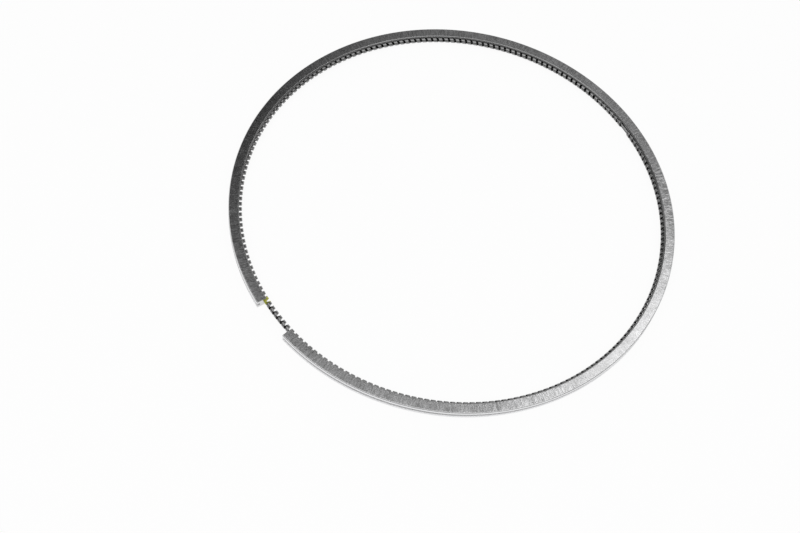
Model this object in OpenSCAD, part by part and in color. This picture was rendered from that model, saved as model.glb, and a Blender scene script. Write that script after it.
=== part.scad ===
// Oil-control piston ring with a coil-spring expander, lying flat, in its free open state.
// The ring's axis is Z, its lower side face is on Z = 0 and all sizes are in millimetres.

/* [Ring] */
// Outside diameter over the running lands, with the ring free
ring_d = 134.2; // [90:0.1:160]
// Axial height between the two side faces
ring_h = 3.0; // [2.4:0.1:6]
// Radial wall from the inner face to the running lands
ring_wall = 3.15; // [2.5:0.05:6]
// Free gap between the two ends, straight across at the outside diameter
free_gap = 12.6; // [1:0.1:25]
// Place of the gap round the axis, in degrees from +X
gap_angle = 225; // [0:1:359]
// Chamfer on the two inner edges
inner_chamfer = 0.3; // [0.05:0.05:0.5]
// Bevel on the two outer edges, beside the lands
outer_bevel = 0.2; // [0.05:0.05:0.5]

/* [Oil channel] */
// Width of the channel at its mouth, between the lands
channel_w = 1.0; // [0.7:0.05:1.6]
// Depth of the channel below the lands
channel_depth = 1.0; // [0.3:0.05:1.2]
// Slope of each flank of the channel, in degrees
channel_flank = 10; // [1:1:15]
// Number of drain slots through the web
slot_count = 12; // [4:1:20]
// Length of each drain slot where it opens into the coil groove
slot_l = 9; // [2:0.5:12]
// Axial height of each drain slot
slot_h = 0.5; // [0.3:0.05:1]
// Radius of the disc that mills the drain slots
slot_disc_r = 25; // [10:1:60]

/* [Coil expander] */
// Width of the coil's flat wire
wire_w = 1.05; // [0.5:0.05:1.3]
// Thickness of the coil's flat wire
wire_t = 0.4; // [0.25:0.05:0.5]
// Inside diameter of the coil
coil_bore = 0.95; // [0.7:0.05:1.1]
// Pitch of the coil's turns, rounded to a whole number of turns
coil_pitch = 1.84; // [1.7:0.02:4]
// Place of the coil's joint, in degrees from the gap
joint_from_gap = 174; // [60:1:300]
// Space between the coil's two ends
joint_space = 3.2; // [0.5:0.1:10]

/* [Latch wire] */
// Length of the wire that lines up the coil's two ends
latch_l = 26; // [12:1:60]

/* [Fits] */
// Radial clearance of the coil in its groove
seat_clearance = 0.05; // [0.02:0.01:0.2]
// Radial clearance of the latch wire in the coil
latch_clearance = 0.05; // [0.02:0.01:0.15]

/* [Hidden] */
$fn = 180;
outer_r = ring_d / 2;
inner_r = outer_r - ring_wall;
half_h = ring_h / 2;
gap_deg = 2 * asin(free_gap / ring_d);
body_start = gap_angle + gap_deg / 2;
body_deg = 360 - gap_deg;

// The coil lies half in its groove, with its centre line on the ring's inner face
coil_r = inner_r;
coil_d = coil_bore + 2 * wire_t;
groove_r = coil_d / 2 + seat_clearance;
lip = half_h - groove_r;
inner_edge = min(inner_chamfer, lip / 2);

// Cuts run past the face that they open into
overcut = 1;
channel_floor_r = outer_r - channel_depth;
channel_slope = tan(channel_flank);

// A slot's disc stands where it cuts the full slot length at the bottom of the groove
groove_floor_r = coil_r + groove_r;
slot_half_deg = slot_l / 2 / groove_floor_r * 180 / PI;
slot_half_chord = groove_floor_r * sin(slot_half_deg);
slot_disc_x = groove_floor_r * cos(slot_half_deg) + sqrt(pow(slot_disc_r, 2) - pow(slot_half_chord, 2));

// The coil goes round from one side of its joint to the other
joint_angle = gap_angle + joint_from_gap;
joint_deg = joint_space / coil_r * 180 / PI;
coil_start = joint_angle + joint_deg / 2;
coil_deg = 360 - joint_deg;
coil_l = coil_r * coil_deg * PI / 180;
coil_turns = round(coil_l / coil_pitch);
latch_deg = latch_l / coil_r * 180 / PI;

// The wire's section, with X away from the coil's axis and Y across the wire.
// The wire is bent at evenly spaced stations round each turn.
wire_section = [[wire_t, wire_w], [-wire_t, wire_w], [-wire_t, -wire_w], [wire_t, -wire_w]] / 2;
wire_sides = len(wire_section);
bore_side = 1;
turn_stations = 6;
stations = coil_turns * turn_stations;
turn_r = (coil_bore + wire_t) / 2;
lead_angle = atan2(coil_l / coil_turns, 2 * PI * turn_r);

// The latch wire clears the flats between two stations
latch_d = coil_bore * cos(180 / turn_stations) - 2 * latch_clearance;

// Section of the ring, with X along the radius and Y = 0 in the middle plane
module ring_section() {
    difference() {
        polygon([
            [inner_r, half_h - inner_edge],
            [inner_r + inner_edge, half_h],
            [outer_r - outer_bevel, half_h],
            [outer_r, half_h - outer_bevel],
            [outer_r, outer_bevel - half_h],
            [outer_r - outer_bevel, -half_h],
            [inner_r + inner_edge, -half_h],
            [inner_r, inner_edge - half_h]
        ]);
        translate([coil_r, 0])
            circle(r = groove_r);
        channel_section();
    }
}

// Section of the oil channel, narrower at its floor
module channel_section() {
    mouth = channel_w / 2 + overcut * channel_slope;
    floor_half = channel_w / 2 - channel_depth * channel_slope;
    polygon([
        [channel_floor_r, floor_half],
        [outer_r + overcut, mouth],
        [outer_r + overcut, -mouth],
        [channel_floor_r, -floor_half]
    ]);
}

// Drain slots, spaced evenly between the two ends of the ring
module drain_slots() {
    for (i = [0 : slot_count - 1])
        rotate([0, 0, body_start + body_deg * (i + 0.5) / slot_count])
            translate([slot_disc_x, 0, 0])
                cylinder(r = slot_disc_r, h = slot_h, center = true);
}

module ring_body() {
    color("silver")
        translate([0, 0, half_h])
            difference() {
                rotate([0, 0, body_start])
                    rotate_extrude(angle = body_deg)
                        ring_section();
                drain_slots();
            }
}

// Corner of the wire at one station of the coil, a right-handed helix bent round the ring's axis.
// The wire lies flat on the round of its turn, so a corner beside the middle is turned on by its lead.
function wire_corner(station, side) =
    let (
        outward = turn_r + wire_section[side].x,
        sideways = wire_section[side].y,
        lead_turn = sideways * sin(lead_angle) / turn_r * 180 / PI,
        turn = lead_turn - 360 * station / turn_stations,
        around = coil_start + coil_deg * station / stations,
        radius = coil_r + outward * cos(turn),
        along = sideways * cos(lead_angle)
    )
    [
        radius * cos(around) - along * sin(around),
        radius * sin(around) + along * cos(around),
        outward * sin(turn)
    ];

// Two triangles from four corners, split from the first to the third
function split(a, b, c, d) = [[a, b, c], [a, c, d]];

// The wall towards the bore is split the other way, so that no fold of it reaches into the bore
module coil_expander() {
    last = stations * wire_sides;
    corners = [
        for (station = [0 : stations], side = [0 : wire_sides - 1]) wire_corner(station, side)
    ];
    walls = [
        for (station = [0 : stations - 1], side = [0 : wire_sides - 1])
            let (
                here = station * wire_sides,
                there = here + wire_sides,
                next_side = (side + 1) % wire_sides
            )
            each side == bore_side
                ? split(here + next_side, there + next_side, there + side, here + side)
                : split(here + side, here + next_side, there + next_side, there + side)
    ];
    start_face = split(3, 2, 1, 0);
    end_face = split(last, last + 1, last + 2, last + 3);
    color("dimgray")
        translate([0, 0, half_h])
            polyhedron(corners, concat(start_face, walls, end_face));
}

module latch_wire() {
    color("gray")
        translate([0, 0, half_h])
            rotate([0, 0, joint_angle - latch_deg / 2])
                rotate_extrude(angle = latch_deg)
                    translate([coil_r, 0])
                        circle(d = latch_d);
}

ring_body();
coil_expander();
latch_wire();
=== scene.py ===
import math

import bmesh
import bpy
from mathutils import Matrix, Vector

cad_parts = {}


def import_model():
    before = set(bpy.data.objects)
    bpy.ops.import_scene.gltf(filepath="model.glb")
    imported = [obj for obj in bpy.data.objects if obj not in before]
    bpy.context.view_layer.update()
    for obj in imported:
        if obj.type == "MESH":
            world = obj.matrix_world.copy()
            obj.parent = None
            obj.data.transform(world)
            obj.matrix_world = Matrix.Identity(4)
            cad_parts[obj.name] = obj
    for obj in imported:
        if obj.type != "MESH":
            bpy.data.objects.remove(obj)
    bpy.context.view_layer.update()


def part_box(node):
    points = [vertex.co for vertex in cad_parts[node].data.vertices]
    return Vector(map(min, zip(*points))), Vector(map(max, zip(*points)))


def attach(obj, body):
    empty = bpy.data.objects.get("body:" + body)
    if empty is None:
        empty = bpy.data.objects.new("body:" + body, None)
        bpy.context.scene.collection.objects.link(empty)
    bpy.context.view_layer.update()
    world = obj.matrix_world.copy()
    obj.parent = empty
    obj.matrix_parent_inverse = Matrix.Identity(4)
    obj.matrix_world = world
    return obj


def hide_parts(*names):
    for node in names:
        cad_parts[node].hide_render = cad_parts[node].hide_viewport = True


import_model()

MM = 0.001

# Ring body, with its overall size taken from the frame
RING_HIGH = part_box("ring_body")[1]
OUTER_R = RING_HIGH.x
HEIGHT = RING_HIGH.z
MIDDLE = HEIGHT / 2
RING_WALL = 3.15 * MM
INNER_R = OUTER_R - RING_WALL
INNER_CHAMFER = 0.3 * MM
OUTER_BEVEL = 0.2 * MM
EDGE_ROUND = 0.06 * MM
END_CHAMFER = 0.04 * MM
MERGE_DISTANCE = EDGE_ROUND / 10
GAP_CHORD = 12.6 * MM
GAP_ANGLE = math.radians(225)
GAP_SPREAD = 2 * math.asin(GAP_CHORD / (2 * OUTER_R))
BODY_START = GAP_ANGLE + GAP_SPREAD / 2
BODY_SPREAD = math.tau - GAP_SPREAD
RING_STEPS = 360

# Oil channel between the running lands, and the drain slots behind it
CHANNEL_MOUTH = 1.0 * MM
CHANNEL_DEPTH = 1.0 * MM
CHANNEL_FLANK = math.radians(10)
CHANNEL_FLOOR = CHANNEL_MOUTH - 2 * CHANNEL_DEPTH * math.tan(CHANNEL_FLANK)
CHANNEL_FLOOR_R = OUTER_R - CHANNEL_DEPTH
SLOT_COUNT = 12
SLOT_LENGTH = 9 * MM
SLOT_HEIGHT = 0.5 * MM
SLOT_OVERCUT = 2 * MM
SLOT_DISC_R = 25 * MM
SLOT_DISC_SIDES = 192

# Coil expander of flat wire, half in its groove
WIRE_WIDTH = 1.05 * MM
WIRE_THICKNESS = 0.4 * MM
WIRE_ROUND = 0.07 * MM
WIRE_CUTS = 2
SEAT_CLEARANCE = 0.05 * MM
COIL_BORE_R = 0.475 * MM
COIL_R = INNER_R
COIL_PITCH = 1.84 * MM
GROOVE_R = COIL_BORE_R + WIRE_THICKNESS + SEAT_CLEARANCE
GROOVE_STEPS = 20
TURN_R = COIL_BORE_R + WIRE_THICKNESS / 2
TURN_STEPS = 24
JOINT_ANGLE = GAP_ANGLE + math.radians(174)
JOINT_SPACE = 3.2 * MM
JOINT_SPREAD = JOINT_SPACE / COIL_R
COIL_LENGTH = COIL_R * (math.tau - JOINT_SPREAD)
COIL_TURNS = round(COIL_LENGTH / COIL_PITCH)
TURN_PITCH = COIL_LENGTH / COIL_TURNS
LEAD = math.atan2(TURN_PITCH, math.tau * TURN_R)

# Latch wire inside the coil, across the coil's joint
LATCH_R = 0.36 * MM
LATCH_SIDES = 20
LATCH_LENGTH = 26 * MM
LATCH_SPREAD = LATCH_LENGTH / COIL_R
LATCH_STEPS = 48

# Finishes of the ring, in the order of its materials; the last is dark iron painted as shade in the groove
# and on the inner edges round the coil
LAPPED, PLATED, MACHINED, INNER_SHADE = range(4)

# A face of the ring is level where its normal has more than this along Z
LEVEL_NORMAL = 0.9

# Edges that bend more than this stay sharp
RING_SHARP = math.radians(40)
WIRE_SHARP = math.radians(50)

# Places round the side faces: a patch with stronger marks, a smoother stretch and a dark line
WORN_ANGLE = math.radians(16)
CALM_ANGLE = math.radians(-32)
SCAR_ANGLE = math.radians(-72.4)

# Direction of the scratches on the side faces
SCRATCH_ANGLE = math.radians(35)

# Yellow paint on the coil, beside one end of the ring
PAINT_ANGLE = math.radians(-140.2)
PAINT_HALF_SPREAD = math.radians(0.9)
PAINT_THIN = (0.22, 0.24, 0.010, 1)
PAINT_THICK = (0.62, 0.62, 0.09, 1)

# Floor, and the share of plain white in its look
FLOOR_SIZE = 12.0
FLOOR_WHITE = 0.93

# Brightness of the room that the metal mirrors, where 1 is white
ROOM_LEVEL = 0.025
CEILING_LEVEL = 0.6
WALL_LEVEL = 0.2
WALL_STEP = 0.14
BACK_LEVEL = 0.9
LOW_LEVEL = 0.26
HORIZON_LEVEL = 0.6

# Camera, from the photograph
IMAGE_WIDTH = 800
SENSOR_WIDTH = 36
FOCAL_PIXELS = 1501.4
CAMERA_PLACE = Vector((-18.65, -241.2, 382.0)) * MM
CAMERA_AIM = Vector((-13.15, -23.3, 3.0)) * MM
CAMERA_ROLL = math.radians(10.8)
CAMERA_NEAR = 1 * MM


class Value:
    """One output of a shader node. Arithmetic on it adds Math nodes to the same tree."""

    def __init__(self, tree, socket):
        self.tree = tree
        self.socket = socket

    def math(self, operation, *others):
        inputs = dict(zip(("Value", "Value_001"), (self, *others)))
        return self.tree.node("ShaderNodeMath", {"operation": operation}, inputs)["Value"]

    def reflected(self, operation, other):
        inputs = {"Value": other, "Value_001": self}
        return self.tree.node("ShaderNodeMath", {"operation": operation}, inputs)["Value"]

    def __add__(self, other):
        return self.math("ADD", other)

    def __radd__(self, other):
        return self.reflected("ADD", other)

    def __sub__(self, other):
        return self.math("SUBTRACT", other)

    def __rsub__(self, other):
        return self.reflected("SUBTRACT", other)

    def __mul__(self, other):
        return self.math("MULTIPLY", other)

    def __rmul__(self, other):
        return self.reflected("MULTIPLY", other)

    def __truediv__(self, other):
        return self.math("DIVIDE", other)

    def __rtruediv__(self, other):
        return self.reflected("DIVIDE", other)

    def __abs__(self):
        return self.math("ABSOLUTE")

    def rise(self, low, high):
        """0 below low, 1 above high, smooth between them."""
        settings = {"interpolation_type": "SMOOTHSTEP"}
        inputs = {"Value": self, "From Min": low, "From Max": high}
        return self.tree.node("ShaderNodeMapRange", settings, inputs)["Result"]


class Tree:
    """The node tree of one material or of the world."""

    def __init__(self, owner):
        owner.use_nodes = True
        self.tree = owner.node_tree
        self.tree.nodes.clear()

    def node(self, kind, settings=None, inputs=None):
        """Add a node, set its settings, then fill or link its sockets. Returns its outputs by name."""
        made = self.tree.nodes.new(kind)
        for key, value in (settings or {}).items():
            setattr(made, key, value)
        sockets = {socket.identifier: socket for socket in made.inputs}
        for key, value in (inputs or {}).items():
            if isinstance(value, Value):
                self.tree.links.new(value.socket, sockets[key])
            else:
                sockets[key].default_value = value
        return {socket.identifier: Value(self, socket) for socket in made.outputs}

    def place(self):
        """Object coordinates in millimetres."""
        place = self.node("ShaderNodeTexCoord")["Object"]
        inputs = {"Vector": place, "Scale": 1 / MM}
        return self.node("ShaderNodeVectorMath", {"operation": "SCALE"}, inputs)["Vector"]

    def parts(self, vector):
        made = self.node("ShaderNodeSeparateXYZ", None, {"Vector": vector})
        return made["X"], made["Y"], made["Z"]

    def vector(self, x, y, z):
        return self.node("ShaderNodeCombineXYZ", None, {"X": x, "Y": y, "Z": z})["Vector"]

    def polar(self, vector):
        """Angle round the ring's axis in radians, and radius and height in millimetres."""
        x, y, z = self.parts(vector)
        return y.math("ARCTAN2", x), (x * x + y * y).math("SQRT"), z

    def noise(self, vector, scale=1.0, detail=2.0, roughness=0.5):
        inputs = {"Vector": vector, "Scale": scale, "Detail": detail, "Roughness": roughness}
        return self.node("ShaderNodeTexNoise", None, inputs)["Fac"]

    def turned(self, vector, angle, scale):
        """A vector turned about Z and then stretched, for marks that run one way."""
        settings = {"vector_type": "TEXTURE"}
        inputs = {"Vector": vector, "Rotation": (0, 0, angle), "Scale": scale}
        return self.node("ShaderNodeMapping", settings, inputs)["Vector"]

    def colour(self, factor, low, high):
        """A colour between low and high."""
        settings = {"data_type": "RGBA"}
        inputs = {"Factor_Float": factor, "A_Color": low, "B_Color": high}
        return self.node("ShaderNodeMix", settings, inputs)["Result_Color"]

    def bump(self, height):
        """A normal from a height in millimetres."""
        return self.node("ShaderNodeBump", None, {"Height": height, "Distance": MM})["Normal"]

    def surface(self, inputs):
        shader = self.node("ShaderNodeBsdfPrincipled", None, inputs)["BSDF"]
        self.node("ShaderNodeOutputMaterial", None, {"Surface": shader})


def grey(level, tint=0.0):
    """A grey, a little cooler where tint is above 0."""
    return (level * (1 - tint), level * (1 - tint), level, 1)


def material(name):
    made = bpy.data.materials.new(name)
    return made, Tree(made)


def lapped_iron():
    """Side faces of the ring: ground and lapped grey iron, with fine marks that cross the face."""
    made, tree = material("lapped_iron")
    place = tree.place()
    angle, radius, height = tree.polar(place)
    along = angle * (OUTER_R / MM)
    strokes = tree.noise(tree.vector(along * 1.7, radius * 0.4, height), detail=4.0, roughness=0.6)
    fine_strokes = tree.noise(tree.vector(along * 5.0, radius * 0.9, height), detail=3.0, roughness=0.6)
    grain = tree.noise(place, scale=3.0, roughness=0.6)
    waves = tree.noise(place, scale=0.09)
    scratches = tree.noise(tree.turned(place, SCRATCH_ANGLE, (4.0, 0.18, 1.0))).rise(0.62, 0.72)
    relief = strokes * 0.012 + fine_strokes * 0.004 + grain * 0.004 + waves * 0.08 - scratches * 0.002
    worn = 1 - abs(angle - WORN_ANGLE).rise(0.08, 0.26)
    calm = 1 - abs(angle - CALM_ANGLE).rise(0.25, 0.5)
    from_scar = along - SCAR_ANGLE * (OUTER_R / MM)
    scar = 1 - abs(from_scar + (grain - 0.5) * 0.3).rise(0.12, 0.28)
    stroke_contrast = 2.6 + worn * 4.5 - calm * 1.7
    marks = (strokes - 0.5) * stroke_contrast + (grain - 0.5) * 2.0 + (waves - 0.5) * 0.8
    tone = marks + 0.5 - scar * 0.9
    tree.surface({
        "Base Color": tree.colour(tone, grey(0.33), grey(0.69, 0.01)),
        "Metallic": 1.0,
        "Roughness": 0.17 + (grain - 0.5) * 0.12 + (fine_strokes - 0.5) * 0.12,
        "Normal": tree.bump(relief),
    })
    return made


def plated_land():
    """Running lands: bright hard plating, lapped round the ring."""
    made, tree = material("plated_land")
    place = tree.place()
    angle, radius, height = tree.polar(place)
    lines = tree.noise(tree.vector(angle * 4.0, radius, height * 14.0), detail=3.0, roughness=0.6)
    grain = tree.noise(place, scale=4.0)
    tree.surface({
        "Base Color": tree.colour(grain, grey(0.72, 0.01), grey(0.86, 0.02)),
        "Metallic": 1.0,
        "Roughness": 0.20 + (lines - 0.5) * 0.2,
        "Normal": tree.bump(lines * 0.0015 + grain * 0.001),
    })
    return made


def cut_iron(name, low, high, roughness):
    """Iron between two greys, with the fine lines of a cutter round the ring."""
    made, tree = material(name)
    place = tree.place()
    angle, radius, height = tree.polar(place)
    lines = tree.noise(tree.vector(angle * 6.0, radius * 9.0, height * 9.0), detail=3.0, roughness=0.6)
    grain = tree.noise(place, scale=2.5, detail=3.0, roughness=0.6)
    tree.surface({
        "Base Color": tree.colour(grain, low, high),
        "Metallic": 1.0,
        "Roughness": roughness + (lines - 0.5) * 0.1,
        "Normal": tree.bump(lines * 0.001 + grain * 0.001),
    })
    return made


def machined_iron():
    """Ends, channel and drain slots: iron as it leaves the cutter."""
    return cut_iron("machined_iron", grey(0.56), grey(0.76, 0.01), roughness=0.18)


def inner_shade_iron():
    """Coil groove and inner edges: dark iron, painted shade round the coil."""
    return cut_iron("inner_shade_iron", grey(0.16), grey(0.24), roughness=0.22)


def spring_wire():
    """Black spring wire, rubbed bare on its outer round, with a dab of paint beside one end of the ring."""
    made, tree = material("spring_wire")
    place = tree.place()
    angle, radius, height = tree.polar(place)
    grain = tree.noise(place, scale=3.0, detail=3.0, roughness=0.6)
    patches = tree.noise(place, scale=0.5)
    across = radius - COIL_R / MM
    lift = height - MIDDLE / MM
    from_centre_line = (across * across + lift * lift).math("SQRT")
    bare = tree.colour(patches, grey(0.18), grey(0.26))
    wire = tree.colour(from_centre_line.rise(0.78, 0.86), grey(0.03), bare)
    from_paint = abs(angle - PAINT_ANGLE) / PAINT_HALF_SPREAD + (grain - 0.5) * 0.8
    paint = 1 - from_paint.rise(0.85, 1.1)
    yellow = tree.colour(grain, PAINT_THIN, PAINT_THICK)
    tree.surface({
        "Base Color": tree.colour(paint, wire, yellow),
        "Metallic": 1 - paint,
        "Roughness": 0.12 + (grain - 0.5) * 0.08 + paint * 0.28,
        "Normal": tree.bump(grain * 0.0015),
    })
    return made


def latch_steel():
    """Drawn grey wire inside the coil."""
    made, tree = material("latch_steel")
    place = tree.place()
    angle, radius, height = tree.polar(place)
    lines = tree.noise(tree.vector(angle * 30.0, radius * 12.0, height * 12.0))
    tree.surface({
        "Base Color": tree.colour(lines, grey(0.24), grey(0.40)),
        "Metallic": 1.0,
        "Roughness": 0.34 + (lines - 0.5) * 0.2,
        "Normal": tree.bump(lines * 0.003),
    })
    return made


def object_from(name, bm):
    """A new object at the origin from a bmesh, with its faces pointing out."""
    bmesh.ops.recalc_face_normals(bm, faces=bm.faces)
    mesh = bpy.data.meshes.new(name)
    bm.to_mesh(mesh)
    bm.free()
    made = bpy.data.objects.new(name, mesh)
    bpy.context.scene.collection.objects.link(made)
    return made


def applied(obj):
    """The object's mesh with its modifiers applied."""
    graph = bpy.context.evaluated_depsgraph_get()
    return bpy.data.meshes.new_from_object(obj.evaluated_get(graph))


def smooth(mesh, sharp_angle):
    mesh.shade_smooth()
    mesh.set_sharp_from_angle(angle=sharp_angle)


def stand_for(obj, node):
    """The piece moves with the part's one body and is shown in place of its CAD node."""
    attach(obj, "root")
    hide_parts(node)


def round_corners(bm, corners, offset):
    """Round the corners of a flat section."""
    bmesh.ops.bevel(
        bm, geom=corners, offset=offset, segments=2, profile=0.5, affect="VERTICES", material=-1
    )


def spin_section(bm, spread, steps):
    """Sweep a section round the ring's axis."""
    bmesh.ops.spin(
        bm, geom=[*bm.verts, *bm.edges, *bm.faces], axis=(0, 0, 1), angle=spread, steps=steps
    )


def ring_section(bm):
    """The section of the ring at angle 0, as one face with its corners rounded."""
    corners = [
        bm.verts.new((radius, 0, height))
        for radius, height in (
            (INNER_R, MIDDLE + GROOVE_R),
            (INNER_R, HEIGHT - INNER_CHAMFER),
            (INNER_R + INNER_CHAMFER, HEIGHT),
            (OUTER_R - OUTER_BEVEL, HEIGHT),
            (OUTER_R, HEIGHT - OUTER_BEVEL),
            (OUTER_R, MIDDLE + CHANNEL_MOUTH / 2),
            (CHANNEL_FLOOR_R, MIDDLE + CHANNEL_FLOOR / 2),
            (CHANNEL_FLOOR_R, MIDDLE - CHANNEL_FLOOR / 2),
            (OUTER_R, MIDDLE - CHANNEL_MOUTH / 2),
            (OUTER_R, OUTER_BEVEL),
            (OUTER_R - OUTER_BEVEL, 0),
            (INNER_R + INNER_CHAMFER, 0),
            (INNER_R, INNER_CHAMFER),
            (INNER_R, MIDDLE - GROOVE_R),
        )
    ]
    for first, second in zip(corners, corners[1:]):
        bm.edges.new((first, second))
    bmesh.ops.spin(
        bm, geom=corners[-1:], cent=(INNER_R, 0, MIDDLE), axis=(0, -1, 0), angle=math.pi, steps=GROOVE_STEPS
    )
    bmesh.ops.remove_doubles(bm, verts=bm.verts, dist=MERGE_DISTANCE)
    bmesh.ops.contextual_create(bm, geom=bm.edges)
    drawn = set(corners)
    round_corners(bm, [vert for vert in bm.verts if vert in drawn], EDGE_ROUND)


def drain_slot_cutter():
    """Parts of the discs that mill the drain slots, as deep as the ring needs them."""
    floor_r = COIL_R + GROOVE_R
    half_spread = SLOT_LENGTH / 2 / floor_r
    half_chord = floor_r * math.sin(half_spread)
    disc_x = floor_r * math.cos(half_spread) + math.sqrt(SLOT_DISC_R ** 2 - half_chord ** 2)
    bm = bmesh.new()
    for index in range(SLOT_COUNT):
        turn = Matrix.Rotation(BODY_START + BODY_SPREAD * (index + 0.5) / SLOT_COUNT, 4, "Z")
        disc = bmesh.ops.create_cone(
            bm, cap_ends=True, segments=SLOT_DISC_SIDES, radius1=SLOT_DISC_R, radius2=SLOT_DISC_R,
            depth=SLOT_HEIGHT, matrix=turn @ Matrix.Translation((disc_x, 0, MIDDLE))
        )["verts"]
        edges = {edge for vert in disc for edge in vert.link_edges}
        faces = {face for vert in disc for face in vert.link_faces}
        cut = bmesh.ops.bisect_plane(
            bm, geom=[*disc, *edges, *faces], plane_co=turn @ Vector((OUTER_R + SLOT_OVERCUT, 0, 0)),
            plane_no=turn.to_3x3() @ Vector((1, 0, 0)), clear_outer=True
        )["geom_cut"]
        bmesh.ops.edgeloop_fill(bm, edges=[part for part in cut if isinstance(part, bmesh.types.BMEdge)])
    return object_from("drain_slot_cutter", bm)


def ring_body():
    """The section swept from one end to the other, with chamfered ends and milled drain slots."""
    bm = bmesh.new()
    ring_section(bm)
    bmesh.ops.rotate(bm, verts=bm.verts, matrix=Matrix.Rotation(BODY_START, 3, "Z"))
    spin_section(bm, BODY_SPREAD, RING_STEPS)
    ends = [face for face in bm.faces if len(face.verts) > 4]
    bmesh.ops.recalc_face_normals(bm, faces=bm.faces)
    for end in ends:
        bmesh.ops.inset_region(bm, faces=[end], thickness=END_CHAMFER, depth=END_CHAMFER)
    made = object_from("ring", bm)
    cutter = drain_slot_cutter()
    slots = made.modifiers.new("drain_slots", "BOOLEAN")
    slots.operation = "DIFFERENCE"
    slots.solver = "EXACT"
    slots.object = cutter
    made.data = applied(made)
    made.modifiers.clear()
    bpy.data.objects.remove(cutter)
    finish_ring(made)
    stand_for(made, "ring_body")


def face_finish(face):
    """Side faces are lapped, the lands are plated, and the rest is as machined; the groove and inner edges
    get dark iron as painted shade round the coil.
    """
    radius = face.center.xy.length
    height = face.center.z
    level = abs(face.normal.z) > LEVEL_NORMAL
    if radius > OUTER_R - OUTER_BEVEL / 2 and not level:
        return PLATED
    if level and min(height, HEIGHT - height) < EDGE_ROUND:
        return LAPPED
    # The groove and the inner edges take the dark iron: painted shade round the coil.
    in_groove = math.hypot(radius - COIL_R, height - MIDDLE) < GROOVE_R
    if in_groove or radius < INNER_R + INNER_CHAMFER:
        return INNER_SHADE
    return MACHINED


def finish_ring(ring):
    mesh = ring.data
    mesh.materials.clear()
    for finish in (lapped_iron(), plated_land(), machined_iron(), inner_shade_iron()):
        mesh.materials.append(finish)
    for face in mesh.polygons:
        face.material_index = face_finish(face)
    smooth(mesh, RING_SHARP)
    flats = ring.modifiers.new("flats", "WEIGHTED_NORMAL")
    flats.weight = 100
    flats.keep_sharp = True


def wire_section(bm):
    """The rounded outline of the flat wire where a straight coil along X starts, bent to lie on its turn."""
    corners = [
        bm.verts.new((across * WIRE_WIDTH / 2, up * WIRE_THICKNESS / 2, 0))
        for across, up in ((1, 1), (-1, 1), (-1, -1), (1, -1))
    ]
    for first, second in zip(corners, corners[1:] + corners[:1]):
        bm.edges.new((first, second))
    round_corners(bm, corners, WIRE_ROUND)
    flats = [edge for edge in bm.edges if edge.calc_length() > WIRE_WIDTH / 2]
    bmesh.ops.subdivide_edges(bm, edges=flats, cuts=WIRE_CUTS)
    for vert in bm.verts:
        across, up, _ = vert.co
        turn = -across * math.sin(LEAD) / TURN_R
        radius = TURN_R + up
        vert.co = (across * math.cos(LEAD), radius * math.cos(turn), radius * math.sin(turn))


def coil_expander():
    """A straight helix of flat wire, bent round the ring's axis."""
    bm = bmesh.new()
    wire_section(bm)
    wound = object_from("coil_section", bm)
    turns = wound.modifiers.new("turns", "SCREW")
    turns.axis = "X"
    turns.angle = math.tau
    turns.screw_offset = TURN_PITCH
    turns.iterations = COIL_TURNS
    turns.steps = TURN_STEPS
    turns.render_steps = TURN_STEPS
    bm = bmesh.new()
    bm.from_mesh(applied(wound))
    bpy.data.objects.remove(wound)
    bmesh.ops.holes_fill(bm, edges=[edge for edge in bm.edges if edge.is_boundary])
    coil_end = JOINT_ANGLE - JOINT_SPREAD / 2
    for vert in bm.verts:
        angle = coil_end - vert.co.x / COIL_R
        radius = COIL_R + vert.co.y
        vert.co = (radius * math.cos(angle), radius * math.sin(angle), MIDDLE + vert.co.z)
    made = object_from("coil", bm)
    made.data.materials.append(spring_wire())
    smooth(made.data, WIRE_SHARP)
    stand_for(made, "coil_expander")


def latch_wire():
    """A short round wire, bent round the ring's axis."""
    bm = bmesh.new()
    start = Matrix.Rotation(JOINT_ANGLE - LATCH_SPREAD / 2, 4, "Z")
    stand = Matrix.Translation((COIL_R, 0, MIDDLE)) @ Matrix.Rotation(math.pi / 2, 4, "X")
    bmesh.ops.create_circle(
        bm, cap_ends=True, segments=LATCH_SIDES, radius=LATCH_R, matrix=start @ stand
    )
    spin_section(bm, LATCH_SPREAD, LATCH_STEPS)
    made = object_from("latch", bm)
    made.data.materials.append(latch_steel())
    smooth(made.data, WIRE_SHARP)
    stand_for(made, "latch_wire")


def floor():
    """A pale floor that shows white and keeps a little of the object's shadow."""
    bm = bmesh.new()
    bmesh.ops.create_grid(bm, x_segments=1, y_segments=1, size=FLOOR_SIZE)
    made = object_from("floor", bm)
    paper, tree = material("floor_paper")
    diffuse = tree.node("ShaderNodeBsdfDiffuse", None, {"Color": grey(0.9)})["BSDF"]
    white = tree.node("ShaderNodeEmission", None, {"Color": grey(1.0), "Strength": 1.0})["Emission"]
    rays = tree.node("ShaderNodeLightPath")
    direct = rays["Is Camera Ray"].math("MAXIMUM", rays["Is Glossy Ray"])
    seen = direct.math("MAXIMUM", rays["Is Transmission Ray"])
    inputs = {"Fac": seen * FLOOR_WHITE, "Shader": diffuse, "Shader_001": white}
    mixed = tree.node("ShaderNodeMixShader", None, inputs)["Shader"]
    tree.node("ShaderNodeOutputMaterial", None, {"Surface": mixed})
    made.data.materials.append(paper)


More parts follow.
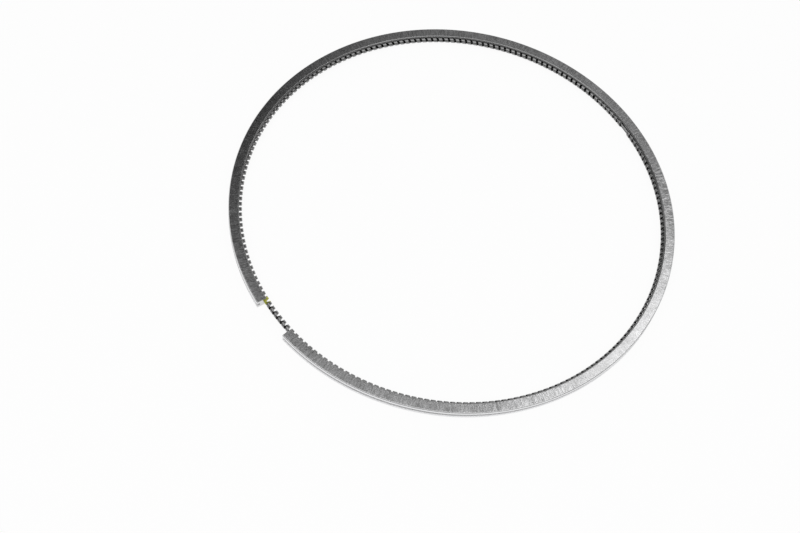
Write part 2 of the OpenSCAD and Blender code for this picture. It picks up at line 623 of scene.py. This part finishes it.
def world():
    """A dim room, paler low down, with a strip of ceiling and a wall that are brighter towards the back."""
    made = bpy.data.worlds.new("studio")
    bpy.context.scene.world = made
    tree = Tree(made)
    x, y, up = tree.parts(tree.node("ShaderNodeTexCoord")["Generated"])
    ceiling = CEILING_LEVEL * up.rise(0.0, 0.3) * y.rise(0.2, 0.3) * (1 - y.rise(0.43, 0.48))
    across = WALL_LEVEL * x.rise(-0.09, -0.01) + WALL_STEP * x.rise(0.05, 0.15)
    wall = across * y.rise(0.50, 0.56) * up.rise(0.6, 0.75)
    back = BACK_LEVEL * y.rise(0.72, 0.82) * (1 - up.rise(0.45, 0.55))
    low = LOW_LEVEL * (1 - up.rise(0.6, 0.75)) + HORIZON_LEVEL * (1 - up.rise(0.04, 0.16))
    level = ROOM_LEVEL + ceiling + wall + back + low
    room = tree.colour(level, grey(0.0), grey(1.0))
    background = tree.node("ShaderNodeBackground", None, {"Color": room, "Strength": 1.0})["Background"]
    tree.node("ShaderNodeOutputWorld", None, {"Surface": background})


def softbox(name, place, aim, width, depth, radiance):
    """A rectangular lamp of even brightness, aimed at a point. Its sizes are in metres."""
    lamp = bpy.data.lights.new(name, "AREA")
    lamp.shape = "RECTANGLE"
    lamp.size = width
    lamp.size_y = depth
    lamp.energy = radiance * math.pi * width * depth
    made = bpy.data.objects.new(name, lamp)
    made.location = place
    made.rotation_euler = (Vector(aim) - Vector(place)).to_track_quat("-Z", "Y").to_euler()
    bpy.context.scene.collection.objects.link(made)


def lights():
    """Two panels overhead that face down, and a lamp at the back."""
    softbox(
        "front", place=(-0.10, -0.735, 1.20), aim=(-0.10, -0.735, 0.0), width=2.80, depth=0.87, radiance=1.75
    )
    softbox(
        "top", place=(-0.10, 0.015, 1.20), aim=(-0.10, 0.015, 0.0), width=2.80, depth=0.63, radiance=1.15
    )
    softbox("back", place=(0.41, 0.745, 1.50), aim=(0.0, 0.0, 0.0), width=0.31, depth=0.31, radiance=1.75)


def camera():
    data = bpy.data.cameras.new("camera")
    data.sensor_width = SENSOR_WIDTH
    data.lens = SENSOR_WIDTH * FOCAL_PIXELS / IMAGE_WIDTH
    data.clip_start = CAMERA_NEAR
    made = bpy.data.objects.new("camera", data)
    aimed = (CAMERA_AIM - CAMERA_PLACE).to_track_quat("-Z", "Y").to_matrix()
    rolled = aimed @ Matrix.Rotation(CAMERA_ROLL, 3, "Z")
    made.matrix_world = Matrix.Translation(CAMERA_PLACE) @ rolled.to_4x4()
    bpy.context.scene.collection.objects.link(made)
    bpy.context.scene.camera = made


ring_body()
coil_expander()
latch_wire()
floor()
world()
lights()
camera()
bpy.context.scene.view_settings.view_transform = "Standard"
